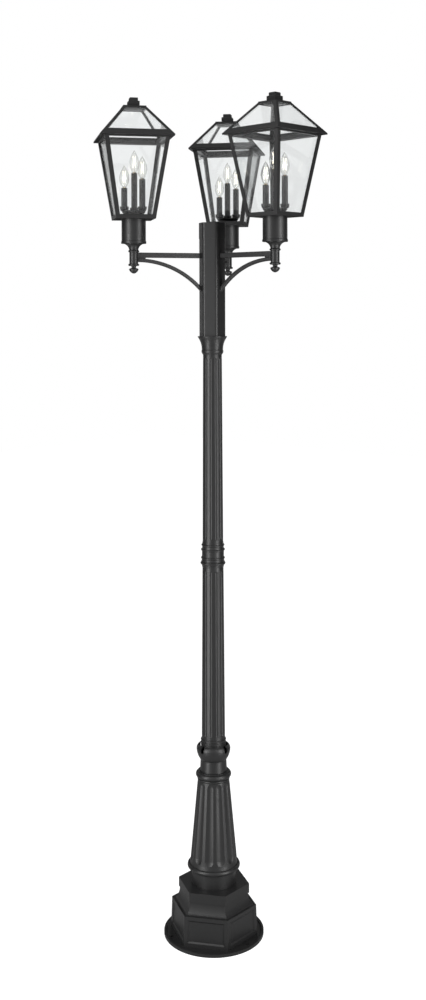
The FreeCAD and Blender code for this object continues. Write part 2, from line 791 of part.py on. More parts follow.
def capital_collar():
    """Bead, concave flare and lip, with a spigot down and a boss that the head tube stands round."""
    body = new_body("capital_collar")
    spigot = f"({UPPER_BORE} - spigot_clearance)"
    bore = f"({spigot} - spigot_wall)"
    boss = f"({HEAD_FLAT} - head_wall - spigot_clearance)"
    bead_top = "capital_bead_foot + capital_bead_height"
    profile = outline(body, "capital_outline", "XZ_Plane", [
        (bore, "-spigot_length"),
        (spigot, "-spigot_length"),
        (spigot, "0"),
        ("upper_shaft_top_radius + 0.7", "0"),
        ("upper_shaft_top_radius + 1.3", "capital_bead_foot", "capital_bead_bend"),
        ("capital_neck_radius - 0.5", bead_top),
        ("capital_neck_radius", f"{bead_top} + 1", "-1.15 * capital_height"),
        ("capital_lip_radius - 1", "capital_height - capital_lip_height"),
        ("capital_lip_radius", "capital_height - capital_lip_height / 2"),
        ("capital_lip_radius", "capital_height"),
        (boss, "capital_height"),
        (boss, "capital_height + capital_boss_height"),
        (bore, "capital_height + capital_boss_height"),
    ])
    turned(body, "capital", profile, Angle="360")
    nodes["capital_collar"] = body
    place(body, up=CAPITAL_FOOT)


def post_set_screws():
    """Headless screws that lock the shafts and the head tube on their spigots."""
    low_spigot = f"({LOWER_BORE} - spigot_clearance)"
    high_spigot = f"({UPPER_BORE} - spigot_clearance)"
    boss = f"({HEAD_FLAT} - head_wall - spigot_clearance)"
    low_face = "(lower_shaft_top_radius - flute_depth)"
    high_face = "(upper_shaft_top_radius - flute_depth)"
    places = (
        (low_spigot, low_face, f"{LOWER_SHAFT_FOOT} + {SCREW_INSET}"),
        (low_spigot, low_face, f"{COUPLING_FOOT} - {SCREW_INSET}"),
        (high_spigot, high_face, f"{UPPER_SHAFT_FOOT} + {SCREW_INSET}"),
        (high_spigot, high_face, f"{CAPITAL_FOOT} - {SCREW_INSET}"),
        (boss, HEAD_FLAT, f"{HEAD_FOOT} + capital_boss_height / 2"),
    )
    screws = [side_pin(f"post_screw_{index}", "set_screw_radius", inner, outer, level, SCREW_TURN)
              for index, (inner, outer, level) in enumerate(places, start=1)]
    nodes["post_set_screws"] = group("post_set_screws", screws)


# ---------------------------------------------------------------------------------------------
# Head: hexagonal tube and cap, arms, holders and pendants
# ---------------------------------------------------------------------------------------------

def head_tube():
    """Hexagonal tube with bent corners, drilled for the arms' wires and for its set screw."""
    body = new_body("head_tube")
    outer = outline(body, "head_outline", "XY_Plane", rounded_hexagon("head_radius", "head_corner_bend"))
    feature(body, "Pad", "head", outer, Length="head_tube_length")
    inner = rounded_hexagon("head_radius - head_wall / cos(30)", "head_corner_bend - head_wall")
    through(body, "head_hollow", outline(body, "head_hollow_outline", "XY_Plane", inner))
    wire_hole = ring(body, "head_wire_ring", "YZ_Plane", "wire_bore_radius", centre=("0", "bar_rise"))
    wire_way = feature(body, "Pocket", "head_wire_way", wire_hole, Length="2 * head_radius", Reversed=True)
    repeated(body, "head_wire_ways", [wire_way], str(ARM_COUNT))
    screw_hole = ring(body, "head_screw_ring", "YZ_Plane", "set_screw_radius",
                      centre=("0", "capital_boss_height / 2"))
    feature(body, "Pocket", "head_screw_hole", screw_hole, Length="2 * head_radius")
    nodes["head_tube"] = body
    place(body, up=HEAD_FOOT)


def head_cap():
    """Hollow hexagonal cap, a little larger than the tube, with a plug that fits inside it."""
    body = new_body("head_cap")
    overhang = "cap_overhang / cos(30)"
    plug_radius = "(head_radius - (head_wall + spigot_clearance) / cos(30))"
    plug_bend = "(head_corner_bend - head_wall)"
    outer = outline(body, "cap_outline", "XY_Plane",
                    rounded_hexagon(f"head_radius + {overhang}", "head_corner_bend + cap_overhang"))
    feature(body, "Pad", "cap_block", outer, Length="cap_height")
    plug = outline(body, "plug_outline", "XY_Plane", rounded_hexagon(plug_radius, plug_bend))
    feature(body, "Pad", "plug", plug, Length="cap_plug_length", Reversed=True)
    inner = outline(body, "cap_hollow_outline", "XY_Plane",
                    hexagon(f"({plug_radius} - head_wall / cos(30))"), lift="-cap_plug_length")
    feature(body, "Pocket", "cap_hollow", inner, Length="cap_plug_length + cap_height - head_wall",
            Reversed=True)
    nodes["head_cap"] = body
    place(body, up=CAP_FOOT)


def rounded_box(half_width, half_height, bend, middle="0"):
    """Corners of a rectangle with bent corners, about a point on the sketch's Y axis."""
    low, high = f"({middle} - {half_height})", f"({middle} + {half_height})"
    return [
        (f"-({half_width} - {bend})", low),
        (f"{half_width} - {bend}", low, bend),
        (half_width, f"{low} + {bend}"),
        (half_width, f"{high} - {bend}", bend),
        (f"{half_width} - {bend}", high),
        (f"-({half_width} - {bend})", high, bend),
        (f"-({half_width})", f"{high} - {bend}"),
        (f"-({half_width})", f"{low} + {bend}", bend),
    ]


def arm_pattern():
    """Bar and curved brace, welded together at the knuckle beside the holder.

    The brace leaves the holder level and bends down to the head on one wide arc.
    """
    body = new_body("arm_pattern")
    bar = outline(body, "bar_outline", "YZ_Plane",
                  rounded_box("bar_width / 2", "bar_height / 2", "bar_edge_bend"), lift=HEAD_FLAT)
    feature(body, "Pad", "bar", bar, Length=f"reach - {HEAD_FLAT}")
    tangent = "(reach - holder_radius)"
    arc_centre = "-(brace_drop + brace_bend)"
    section = outline(body, "brace_outline", "YZ_Plane",
                      rounded_box("brace_width / 2", "brace_thickness / 2", "bar_edge_bend", "brace_bend"),
                      lift=tangent, shift=("0", arc_centre))
    turned(body, "brace", section, axis="H_Axis", Angle=f"asin({tangent} / brace_bend)", Reversed=True)
    knuckle = outline(body, "knuckle_outline", "XZ_Plane", box_outline(
        f"{tangent} - knuckle_length", "reach", "-(brace_drop + brace_thickness / 2 - bar_edge_bend)",
        "bar_height / 2 - bar_edge_bend"))
    feature(body, "Pad", "knuckle", knuckle, Length="brace_width - bar_edge_bend", Midplane=True)
    head_side = outline(body, "head_side_outline", "XZ_Plane", box_outline(
        f"-{HEAD_FLAT}", HEAD_FLAT, "-brace_bend", "bar_height"))
    feature(body, "Pocket", "head_side", head_side, Length="4 * bar_width", Midplane=True)
    through(body, "holder_seat", ring(body, "holder_seat_ring", "XY_Plane", "holder_radius",
                                      centre=("reach", "0")))
    through(body, "wire_bore", ring(body, "wire_bore_ring", "YZ_Plane", "wire_bore_radius"))
    return body


def holder_pattern():
    """Turned holder: ringed tube, concave flare and the post fitter that the lantern slips over."""
    body = new_body("holder_pattern")
    tube, bulge = "holder_radius", "holder_ring_bulge"
    ring_foot = "bar_height / 2 + holder_ring_gap"
    ring_top = f"{ring_foot} + 2 * {bulge}"
    profile = outline(body, "holder_outline", "XZ_Plane", [
        ("0", "-holder_foot_drop"),
        (tube, "-holder_foot_drop", "half"),
        (tube, f"2 * {bulge} - holder_foot_drop"),
        (tube, ring_foot, "half"),
        (tube, ring_top),
        ("holder_neck_radius", f"{ring_top} + 1", "-0.6 * fitter_rise"),
        ("holder_flare_radius", "fitter_rise - holder_ring_bulge / 2"),
        ("holder_flare_radius", "fitter_rise"),
        ("post_fitter_radius", "fitter_rise"),
        ("post_fitter_radius", "fitter_rise + fitter_height - seat_clearance"),
        ("post_fitter_radius - post_fitter_wall", "fitter_rise + fitter_height - seat_clearance"),
        ("post_fitter_radius - post_fitter_wall", "fitter_rise + post_fitter_wall"),
        ("wire_bore_radius + 1", "fitter_rise + post_fitter_wall"),
        ("wire_bore_radius + 1", "-bar_height"),
        ("0", "-bar_height"),
    ])
    turned(body, "holder", profile, Angle="360")
    wire_hole = ring(body, "holder_wire_ring", "YZ_Plane", "wire_bore_radius")
    feature(body, "Pocket", "holder_wire_way", wire_hole, Length="2 * holder_radius")
    return body


def pendant_pattern():
    """Turned pendant: short neck and an acorn that comes to a point."""
    body = new_body("pendant_pattern")
    belly = "-pendant_neck_length"
    profile = outline(body, "pendant_outline", "XZ_Plane", [
        ("0", "-pendant_length"),
        ("pendant_tip_radius", "-pendant_length", "1.25 * pendant_radius"),
        ("pendant_radius", f"{belly} - 1"),
        ("pendant_radius", f"{belly} + 1"),
        ("pendant_neck_radius", f"0.55 * {belly}"),
        ("pendant_neck_radius + 2", "0"),
        ("0", "0"),
    ])
    turned(body, "pendant", profile, Angle="360")
    return body


def arms():
    """Three arms, each with its holder and pendant, set evenly round the head."""
    arm, holder, pendant = arm_pattern(), holder_pattern(), pendant_pattern()
    for index in range(ARM_COUNT):
        turn = 360 * index // ARM_COUNT
        out = (f"reach * cos({turn})", f"reach * sin({turn})")
        pieces = (
            ("arm", arm, ("0", "0"), BAR_CENTRE),
            ("holder", holder, out, BAR_CENTRE),
            ("pendant", pendant, out, f"{BAR_CENTRE} - holder_foot_drop"),
        )
        for name, pattern, (along_x, along_y), up in pieces:
            label = f"{name}_{index + 1}"
            nodes[label] = group(label, [pattern])
            place(nodes[label], along_x, along_y, up, turn=str(turn))


# ---------------------------------------------------------------------------------------------
# Lantern: heights count from the fitter's foot
# ---------------------------------------------------------------------------------------------

FLOOR_TOP = "(fitter_height + floor_thickness)"
BODY_TOP = f"({FLOOR_TOP} + body_height)"
ROOF_FOOT = f"({BODY_TOP} + roof_seat_clearance)"
SLEEVE_FOOT = f"({FLOOR_TOP} + hub_rise + hub_disc_thickness / 2 + cup_floor)"


def body_half(height):
    """Half the width of the lantern's body at a height above the floor plate."""
    return at_height("body_foot_half", "body_top_half", "body_height", height)


def roof_half(height):
    """Half the width of the roof at a height above the eave's lip."""
    return at_height("eave_half", "roof_top_half", "roof_rise", height)


def fitter():
    """Cup with a foot ring that slips over the post fitter, under the square floor plate."""
    body = new_body("fitter_pattern")
    bore = "(post_fitter_radius + turning_clearance)"
    bevel = "fitter_ring_radius - fitter_radius"
    profile = outline(body, "fitter_outline", "XZ_Plane", [
        (bore, "0"),
        ("fitter_ring_radius - 1", "0"),
        ("fitter_ring_radius", "1"),
        ("fitter_ring_radius", f"fitter_ring_height - ({bevel})"),
        ("fitter_radius", "fitter_ring_height"),
        ("fitter_radius", "fitter_height"),
        (bore, "fitter_height"),
    ])
    turned(body, "cup", profile, Angle="360")
    plate = outline(body, "floor_outline", "XY_Plane", square("body_foot_half"), lift="fitter_height")
    feature(body, "Pad", "floor", plate, Length="floor_thickness")
    through(body, "wire_hole", ring(body, "wire_hole_ring", "XY_Plane", "wire_bore_radius"))
    screw_hole = ring(body, "fitter_screw_ring", "YZ_Plane", "set_screw_radius",
                      centre=("0", "fitter_screw_height"))
    hole = feature(body, "Pocket", "fitter_screw_hole", screw_hole, Length="2 * fitter_radius", Reversed=True)
    repeated(body, "fitter_screw_holes", [hole], str(ARM_COUNT))
    return body


def fitter_screws():
    """Three headless screws in the fitter's wall."""
    inner = "post_fitter_radius + turning_clearance"
    screws = [side_pin(f"fitter_screw_{index + 1}", "set_screw_radius", inner, "fitter_radius - 0.5",
                       "fitter_screw_height", 360 * index // ARM_COUNT) for index in range(ARM_COUNT)]
    return group("fitter_screws_pattern", screws)


def frame():
    """Leaning corner angles between two rails, with a ledge and a curb that locate the roof."""
    body = new_body("frame_pattern")
    lofted(body, "body_block", [
        outline(body, "body_foot", "XY_Plane", square("body_foot_half"), lift=FLOOR_TOP),
        outline(body, "body_top", "XY_Plane", square("body_top_half"), lift=BODY_TOP),
    ])
    lofted(body, "body_hollow", [
        outline(body, "inside_foot", "XY_Plane", square("body_foot_half - frame_thickness"), lift=FLOOR_TOP),
        outline(body, "inside_top", "XY_Plane", square("body_top_half - frame_thickness"), lift=BODY_TOP),
    ], kind="SubtractiveLoft")
    low, high = "foot_rail_height", "(body_height - head_rail_height)"
    low_half = f"({body_half(low)} - corner_flange)"
    high_half = f"({body_half(high)} - corner_flange)"
    opening = [
        (f"-{low_half}", f"{FLOOR_TOP} + {low}"),
        (low_half, f"{FLOOR_TOP} + {low}"),
        (high_half, f"{FLOOR_TOP} + {high}"),
        (f"-{high_half}", f"{FLOOR_TOP} + {high}"),
    ]
    for plane in ("XZ_Plane", "YZ_Plane"):
        through(body, "opening_" + plane[:2], outline(body, "opening_outline_" + plane[:2], plane, opening))
    inner = "(curb_half - frame_thickness)"
    ledge = outline(body, "ledge_outline", "XY_Plane", square(f"{body_half(high)} - 1"),
                    lift=f"{BODY_TOP} - frame_thickness")
    feature(body, "Pad", "ledge", ledge, Length="frame_thickness")
    curb = outline(body, "curb_outline", "XY_Plane", square("curb_half"), lift=BODY_TOP)
    feature(body, "Pad", "curb", curb, Length="curb_height")
    mouth = outline(body, "mouth_outline", "XY_Plane", square(inner), lift=f"{BODY_TOP} - frame_thickness")
    feature(body, "Pocket", "mouth", mouth, Length="frame_thickness + curb_height", Reversed=True)
    return body


def leaning_panes(name, foot, top, half_at, floor, thickness, inset):
    """Four panes that lean with the walls they stand behind, as separate solids.

    half_at gives the wall's half width at a height, and inset is how far inside it the glass is.
    """
    panes = []
    for index in range(4):
        body = new_body(f"{name}_{index + 1}")
        ends = []
        for end, level in (("foot", foot), ("top", top)):
            outer = f"({half_at(level)} - {inset})"
            half = f"({outer} - {thickness} - pane_corner_gap)"
            corners = box_outline(f"{outer} - {thickness}", outer, f"-{half}", half)
            ends.append(outline(body, f"{name}_{index + 1}_{end}", "XY_Plane", corners,
                                lift=f"{floor} + {level}"))
        lofted(body, f"{name}_{index + 1}_loft", ends)
        place(body, turn=str(90 * index))
        panes.append(body)
    return group(name + "_pattern", panes)


def side_glass():
    """Four leaning panes behind the corner angles and the rails."""
    return leaning_panes("side_glass", "pane_clearance", "(body_height - frame_thickness - pane_clearance)",
                         body_half, FLOOR_TOP, "pane_thickness", "(frame_thickness + pane_clearance)")


def roof_frame():
    """Eave with lip and soffit, sloping rails, four hips and the cap plate."""
    body = new_body("roof_frame_pattern")
    lip_top = f"({ROOF_FOOT} + eave_lip_height)"
    roof_top = f"({lip_top} + roof_rise)"
    eave = outline(body, "eave_outline", "XY_Plane", square("eave_half"), lift=ROOF_FOOT)
    feature(body, "Pad", "eave", eave, Length="eave_lip_height")
    lofted(body, "slopes", [
        outline(body, "slope_foot", "XY_Plane", square("eave_half"), lift=lip_top),
        outline(body, "slope_top", "XY_Plane", square("roof_top_half"), lift=roof_top),
    ])
    inside_foot = "(soffit_thickness - eave_lip_height)"
    inside_top = "(roof_rise + cap_plate_rise - cap_plate_thickness)"
    lofted(body, "roof_hollow", [
        outline(body, "roof_inside_foot", "XY_Plane", square(f"{roof_half(inside_foot)} - roof_thickness"),
                lift=f"{lip_top} + {inside_foot}"),
        outline(body, "roof_inside_top", "XY_Plane", square(f"{roof_half(inside_top)} - roof_thickness"),
                lift=f"{lip_top} + {inside_top}"),
    ], kind="SubtractiveLoft")
    low_half = f"({roof_half('eave_rail_height')} - hip_flange)"
    high_half = f"({roof_half(inside_top)} - hip_flange)"
    opening = [
        (f"-{low_half}", f"{lip_top} + eave_rail_height"),
        (low_half, f"{lip_top} + eave_rail_height"),
        (high_half, f"{lip_top} + {inside_top}"),
        (f"-{high_half}", f"{lip_top} + {inside_top}"),
    ]
    for plane in ("XZ_Plane", "YZ_Plane"):
        through(body, "roof_opening_" + plane[:2],
                outline(body, "roof_opening_outline_" + plane[:2], plane, opening))
    mouth = outline(body, "roof_mouth_outline", "XY_Plane", square("curb_half + curb_clearance"),
                    lift=ROOF_FOOT)
    feature(body, "Pocket", "roof_mouth", mouth, Length="eave_lip_height", Reversed=True)
    plate = outline(body, "cap_plate_outline", "XY_Plane", square("roof_top_half"),
                    lift=f"{roof_top} + cap_plate_rise - cap_plate_thickness")
    feature(body, "Pad", "cap_plate", plate, Length="cap_plate_thickness")
    return body


def roof_glass():
    """Four sloping panes under the rails and hips."""
    return leaning_panes("roof_glass", "(eave_rail_height / 3)",
                         "(roof_rise + cap_plate_rise - cap_plate_thickness - pane_clearance)",
                         roof_half, f"{ROOF_FOOT} + eave_lip_height", "roof_pane_thickness",
                         "(roof_thickness + pane_clearance)")


def finial():
    """Two stacked square blocks on a short neck, with chamfered tops."""
    foot = f"{ROOF_FOOT} + eave_lip_height + roof_rise + cap_plate_rise"
    neck = solid_box("finial_neck", "finial_neck_half", foot, "finial_neck_height + 1")
    blocks = [neck]
    levels = (
        ("finial_foot", "finial_foot_half", f"{foot} + finial_neck_height", "finial_foot_height"),
        ("finial_top", "finial_top_half", f"{foot} + finial_neck_height + finial_foot_height",
         "finial_top_height"),
    )
    for name, half, level, height in levels:
        blocks.append(solid_box(name, half, level, f"{height} - finial_chamfer"))
        wedge = doc.addObject("Part::Wedge", name + "_chamfer")
        shrunk = f"({half} - finial_chamfer)"
        for prop, text in (("Xmin", f"-{half}"), ("Xmax", half), ("Ymin", "0"), ("Ymax", "finial_chamfer"),
                           ("Zmin", f"-{half}"), ("Zmax", half), ("X2min", f"-{shrunk}"), ("X2max", shrunk),
                           ("Z2min", f"-{shrunk}"), ("Z2max", shrunk)):
            bind(wedge, prop, text)
        wedge.Placement = Placement(Vector(0, 0, 0), Rotation(Vector(1, 0, 0), 90))
        bind(wedge, "Placement.Base.z", f"{level} + {height} - finial_chamfer")
        blocks.append(wedge)
    return joined("finial_pattern", blocks)


# ---------------------------------------------------------------------------------------------
# Candle cluster
# ---------------------------------------------------------------------------------------------

def candle_spot(candle):
    """Where a candle stands about the lantern's axis."""
    turn = CANDLE_STEP[candle]
    return f"candle_circle_radius * cos({turn})", f"candle_circle_radius * sin({turn})"


def sleeve_top(candle):
    """Height of a candle sleeve's top."""
    return f"({SLEEVE_FOOT} + {candle}_sleeve_length)"


def candle_hub():
    """Boss and bowl that carry three flared cups."""
    body = new_body("candle_hub_pattern")
    disc_foot = f"({FLOOR_TOP} + hub_rise)"
    disc_top = f"({disc_foot} + hub_disc_thickness)"
    bowl = outline(body, "bowl_outline", "XZ_Plane", [
        ("0", FLOOR_TOP),
        ("hub_boss_radius", FLOOR_TOP),
        ("hub_boss_radius", f"{FLOOR_TOP} + 0.3 * hub_rise", "0.8 * hub_disc_radius"),
        ("hub_disc_radius", disc_foot),
        ("hub_disc_radius", disc_top),
        ("0", disc_top),
    ])
    turned(body, "bowl", bowl, Angle="360")
    cup_foot = f"({disc_foot} + hub_disc_thickness / 2)"
    axis = "candle_circle_radius"
    floor = f"{cup_foot} + cup_floor"
    cup = outline(body, "cup_outline", "XZ_Plane", [
        (axis, cup_foot),
        (f"{axis} + cup_foot_radius", cup_foot, "1.6 * cup_height"),
        (f"{axis} + cup_radius", f"{cup_foot} + 0.8 * cup_height"),
        (f"{axis} + cup_radius", f"{cup_foot} + cup_height"),
        (f"{axis} + cup_radius - cup_wall", f"{cup_foot} + cup_height"),
        (f"{axis} + cup_radius - cup_wall", f"{cup_foot} + 0.8 * cup_height", "-1.6 * cup_height"),
        (f"{axis} + sleeve_radius", floor),
        (axis, floor),
    ], axis_ends=(7, 0))
    first = turned(body, "cup", cup, axis="Axis0", Angle="360")
    repeated(body, "cups", [first], str(len(CANDLES)))
    return body


def candle_sleeves():
    """Three candle sleeves of different lengths."""
    sleeves = []
    for candle in CANDLES:
        across, along = candle_spot(candle)
        length = f"{candle}_sleeve_length"
        outer = rod(f"{candle}_sleeve_outside", "sleeve_radius", SLEEVE_FOOT, length, across, along)
        inner = rod(f"{candle}_sleeve_inside", "sleeve_radius - sleeve_wall", f"{SLEEVE_FOOT} - 1",
                    f"{length} + 2", across, along)
        sleeves.append(cut(f"{candle}_sleeve", outer, inner))
    return group("candle_sleeves_pattern", sleeves)


def lamp_holders():
    """Three lamp holders inside the sleeves, each on a stem that stands in its cup."""
    holders = []
    for candle in CANDLES:
        across, along = candle_spot(candle)
        top = f"({sleeve_top(candle)} - lamp_holder_drop)"
        shell = rod(f"{candle}_holder_shell", "sleeve_radius - sleeve_wall - holder_sleeve_clearance",
                    f"{top} - lamp_holder_length", "lamp_holder_length", across, along)
        stem = rod(f"{candle}_holder_stem", "lamp_holder_stem_radius", SLEEVE_FOOT,
                   f"{candle}_sleeve_length - lamp_holder_drop - lamp_holder_length / 2", across, along)
        depth = "(screw_base_length - lamp_holder_drop + seat_clearance)"
        bore = rod(f"{candle}_holder_bore", "screw_base_radius + lamp_clearance", f"{top} - {depth}",
                   f"{depth} + 1", across, along)
        whole = joined(f"{candle}_holder_whole", [shell, stem])
        holders.append(cut(f"{candle}_holder", whole, bore))
    return group("lamp_holders_pattern", holders)


def lamp_envelope():
    """Flame-shaped glass with a thin wall, open at its neck."""
    body = new_body("lamp_envelope")
    thin = "lamp_glass_thickness"
    belly_rise = "(lamp_belly_height - lamp_neck_height)"
    inner_belly, inner_neck = f"(lamp_radius - {thin})", f"(lamp_neck_radius - {thin})"
    tip_rise = "(lamp_height - lamp_belly_height)"
    inner_rise = f"({tip_rise} - 2 * {thin})"
    inner_tip = "(lamp_tip_radius / 2)"
    glass = outline(body, "envelope_outline", "XZ_Plane", [
        ("lamp_neck_radius", "lamp_neck_height", upright_bend(belly_rise, "lamp_radius - lamp_neck_radius")),
        ("lamp_radius", "lamp_belly_height", upright_bend(tip_rise, "lamp_radius - lamp_tip_radius")),
        ("lamp_tip_radius", "lamp_height"),
        ("0", "lamp_height"),
        ("0", f"lamp_height - 2 * {thin}"),
        (inner_tip, f"lamp_height - 2 * {thin}",
         "-" + upright_bend(inner_rise, f"{inner_belly} - {inner_tip}")),
        (inner_belly, "lamp_belly_height", "-" + upright_bend(belly_rise, f"{inner_belly} - {inner_neck}")),
        (inner_neck, "lamp_neck_height"),
    ])
    turned(body, "envelope", glass, Angle="360")
    return body


def lamp_base():
    """Screw shell with its rolled thread, and the contact button."""
    body = new_body("lamp_base")
    crest = "screw_base_radius"
    root = f"({crest} - 0.5)"
    turns = 4
    pitch = "(screw_base_length * 0.7 / %d)" % turns
    foot = "(-screw_base_length + 0.3 * screw_base_length)"
    corners = [
        ("0", "-screw_base_length"),
        (f"0.35 * {crest}", "-screw_base_length"),
        (f"0.35 * {crest}", f"{foot} - 1.5"),
        (f"0.8 * {crest}", foot),
    ]
    for turn in range(turns):
        corners.append((root, f"{foot} + {pitch} * {turn + 0.25}"))
        corners.append((crest, f"{foot} + {pitch} * {turn + 0.75}"))
    corners += [(root, "lamp_neck_height"), ("0", "lamp_neck_height")]
    turned(body, "screw_shell", outline(body, "base_outline", "XZ_Plane", corners), Angle="360")
    return body


def lamp_filament():
    """Glass stem with a wire mast, and four filaments that hang from the mast's star."""
    star = "filament_circle_radius + 2 * filament_radius"
    stem = rod("lamp_stem", "stem_radius", "lamp_neck_height", "filament_foot - lamp_neck_height")
    pieces = [stem, rod("lamp_foot_star", star, "filament_foot", "filament_radius")]
    for index in range(4):
        turn = 90 * index
        pieces.append(rod(f"lamp_filament_{index + 1}", "filament_radius", "filament_foot",
                          "filament_length", f"filament_circle_radius * cos({turn})",
                          f"filament_circle_radius * sin({turn})"))
    top = "filament_foot + filament_length - filament_radius"
    pieces.append(rod("lamp_top_star", star, top, "filament_radius"))
    return joined("lamp_filament", pieces)


# ---------------------------------------------------------------------------------------------
# Three lanterns, each at the end of its arm
# ---------------------------------------------------------------------------------------------

def lanterns():
    """Places a copy of every lantern piece on each holder."""
    turning = {
        "fitter": fitter(),
        "fitter_screws": fitter_screws(),
        "frame": frame(),
        "side_glass": side_glass(),
        "roof_frame": roof_frame(),
        "roof_glass": roof_glass(),
        "finial": finial(),
    }
    cluster = {
        "candle_hub": candle_hub(),
        "candle_sleeves": candle_sleeves(),
        "lamp_holders": lamp_holders(),
    }
    lamp = [lamp_envelope(), lamp_base(), lamp_filament()]
    for index in range(ARM_COUNT):
        turn = 360 * index // ARM_COUNT
        lantern = index + 1
        along_x, along_y = f"reach * cos({turn})", f"reach * sin({turn})"
        for name, pattern in turning.items():
            label = f"{name}_{lantern}"
            nodes[label] = group(label, [pattern])
            place(nodes[label], along_x, along_y, FITTER_FOOT, turn=f"{turn} + lantern_turn_{lantern}")
        for name, pattern in cluster.items():
            label = f"{name}_{lantern}"
            nodes[label] = group(label, [pattern])
            place(nodes[label], along_x, along_y, FITTER_FOOT, turn="candle_turn")
        for candle in CANDLES:
            label = f"bulb_{candle}_{lantern}"
            heading = f"(candle_turn + {CANDLE_STEP[candle]})"
            nodes[label] = group(label, lamp)
            place(nodes[label], f"{along_x} + candle_circle_radius * cos({heading})",
                  f"{along_y} + candle_circle_radius * sin({heading})",
                  f"{FITTER_FOOT} + {sleeve_top(candle)}", turn=heading)


base_flange()
plinth_cove()
base_bell()
leaf_collar()
shaft("lower_shaft", "lower_shaft_foot_radius", "lower_shaft_top_radius", "lower_shaft_length",
      LOWER_BORE, LOWER_SHAFT_FOOT)
coupling()
shaft("upper_shaft", "upper_shaft_foot_radius", "upper_shaft_top_radius", "upper_shaft_length",
      UPPER_BORE, UPPER_SHAFT_FOOT)
capital_collar()
post_set_screws()
head_tube()
head_cap()
arms()
lanterns()
doc.recompute()

for item in doc.Objects:
    faults = [state for state in item.State if state in ("Invalid", "Error")]
    if faults:
        raise RuntimeError(f"{item.Label}: {faults}")
for label, item in nodes.items():
    if item.Shape.isNull() or not item.Shape.isValid():
        raise RuntimeError(f"{label}: its shape is missing or not valid")

os.makedirs("parts", exist_ok=True)
for label, item in nodes.items():
    item.Shape.exportStep(f"parts/{label}.step")
    box = item.Shape.BoundBox
    print(f"{label:18s} solids {len(item.Shape.Solids)} volume {item.Shape.Volume:12.1f} "
          f"z {box.ZMin:8.1f} to {box.ZMax:8.1f}")
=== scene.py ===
# %% [markdown]
# # A triple head garden lamp post
#
# The object is a tall outdoor lamp post in black powder-coated metal.  A panelled hexagonal plinth
# carries a fluted column, and a hexagonal head carries three arms.  Each arm holds a four-sided
# lantern with clear panes and three candle lamps.
#
# The metalwork comes from the CAD model as a fixed frame, because its shapes and sizes are already
# right.  Blender adds the finishes, the lamps' glass, caps and filaments, the studio and the camera.

import json
import math

import bpy
import numpy as np
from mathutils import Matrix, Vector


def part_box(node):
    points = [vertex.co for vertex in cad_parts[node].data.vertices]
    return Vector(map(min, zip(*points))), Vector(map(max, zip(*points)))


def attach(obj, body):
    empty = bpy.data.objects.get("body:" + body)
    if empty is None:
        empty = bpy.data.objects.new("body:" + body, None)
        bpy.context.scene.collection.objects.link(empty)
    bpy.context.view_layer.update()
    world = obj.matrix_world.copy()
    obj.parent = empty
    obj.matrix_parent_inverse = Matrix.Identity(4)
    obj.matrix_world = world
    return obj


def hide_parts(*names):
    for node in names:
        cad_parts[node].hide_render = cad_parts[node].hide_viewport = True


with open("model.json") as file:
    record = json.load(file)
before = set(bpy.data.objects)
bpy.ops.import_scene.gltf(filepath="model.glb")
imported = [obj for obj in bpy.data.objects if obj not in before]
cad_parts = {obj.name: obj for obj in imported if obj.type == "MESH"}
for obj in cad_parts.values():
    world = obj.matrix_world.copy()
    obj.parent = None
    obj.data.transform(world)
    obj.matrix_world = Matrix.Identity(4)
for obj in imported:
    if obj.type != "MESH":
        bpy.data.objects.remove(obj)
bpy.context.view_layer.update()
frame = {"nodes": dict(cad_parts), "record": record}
nodes = frame["nodes"]
scene = bpy.context.scene
scene.view_settings.view_transform = "Standard"

# %% [markdown]
# ## The camera
#
# The photograph looks level at a tall subject, with the horizon high in the frame, as a view camera
# with its lens shifted down sees it.  Upright lines therefore stay upright.  The camera stands
# between arm 1, which comes forward on the right, and arm 3, which reaches out on the left.

# %% Camera
PICTURE_HEIGHT = 1000.0
FOCAL_PIXELS = 1200.0
SENSOR_HEIGHT = 36.0
CAMERA_DISTANCE = 4.375
CAMERA_HEIGHT = 2.281
CAMERA_TURN = math.radians(-48.1)
HORIZON_ROW = 305.5
AXIS_OFFSET_PIXELS = 0.7
CAMERA_ROLL = math.radians(0.15)

lens = bpy.data.cameras.new("photograph_camera")
lens.sensor_fit = "VERTICAL"
lens.sensor_height = SENSOR_HEIGHT
lens.lens = FOCAL_PIXELS / PICTURE_HEIGHT * SENSOR_HEIGHT
lens.shift_x = AXIS_OFFSET_PIXELS / PICTURE_HEIGHT
lens.shift_y = (HORIZON_ROW - PICTURE_HEIGHT / 2.0) / PICTURE_HEIGHT
camera = bpy.data.objects.new("photograph_camera", lens)
camera.location = (
    CAMERA_DISTANCE * math.cos(CAMERA_TURN),
    CAMERA_DISTANCE * math.sin(CAMERA_TURN),
    CAMERA_HEIGHT,
)
camera.rotation_euler = (math.radians(90.0), CAMERA_ROLL, CAMERA_TURN + math.radians(90.0))
scene.collection.objects.link(camera)
scene.camera = camera
print(f"camera: lens {lens.lens:.1f} mm, shift {lens.shift_y:.4f}")

# %% [markdown]
# ## Building materials
#
# Every finish here is a Principled BSDF.  Whatever changes over the surface comes from noise that
# reads Object coordinates, so a pattern keeps its real size on every piece and stays where it is
# when a lantern turns.

# %% Material helpers
def principled(material):
    """The material's Principled BSDF node."""
    return material.node_tree.nodes["Principled BSDF"]


def new_material(name, colour, roughness, **settings):
    """A Principled material with its plain settings on the shader's own sockets."""
    material = bpy.data.materials.new(name)
    material.use_nodes = True
    shader = principled(material)
    shader.inputs["Base Color"].default_value = (*colour, 1.0)
    shader.inputs["Roughness"].default_value = roughness
    for socket, value in settings.items():
        shader.inputs[socket.replace("_", " ")].default_value = value
    material.diffuse_color = (*colour, 1.0)
    return material


def linked(material, source, output, target, socket):
    """Joins one node's output to another node's input."""
    material.node_tree.links.new(source.outputs[output], target.inputs[socket])


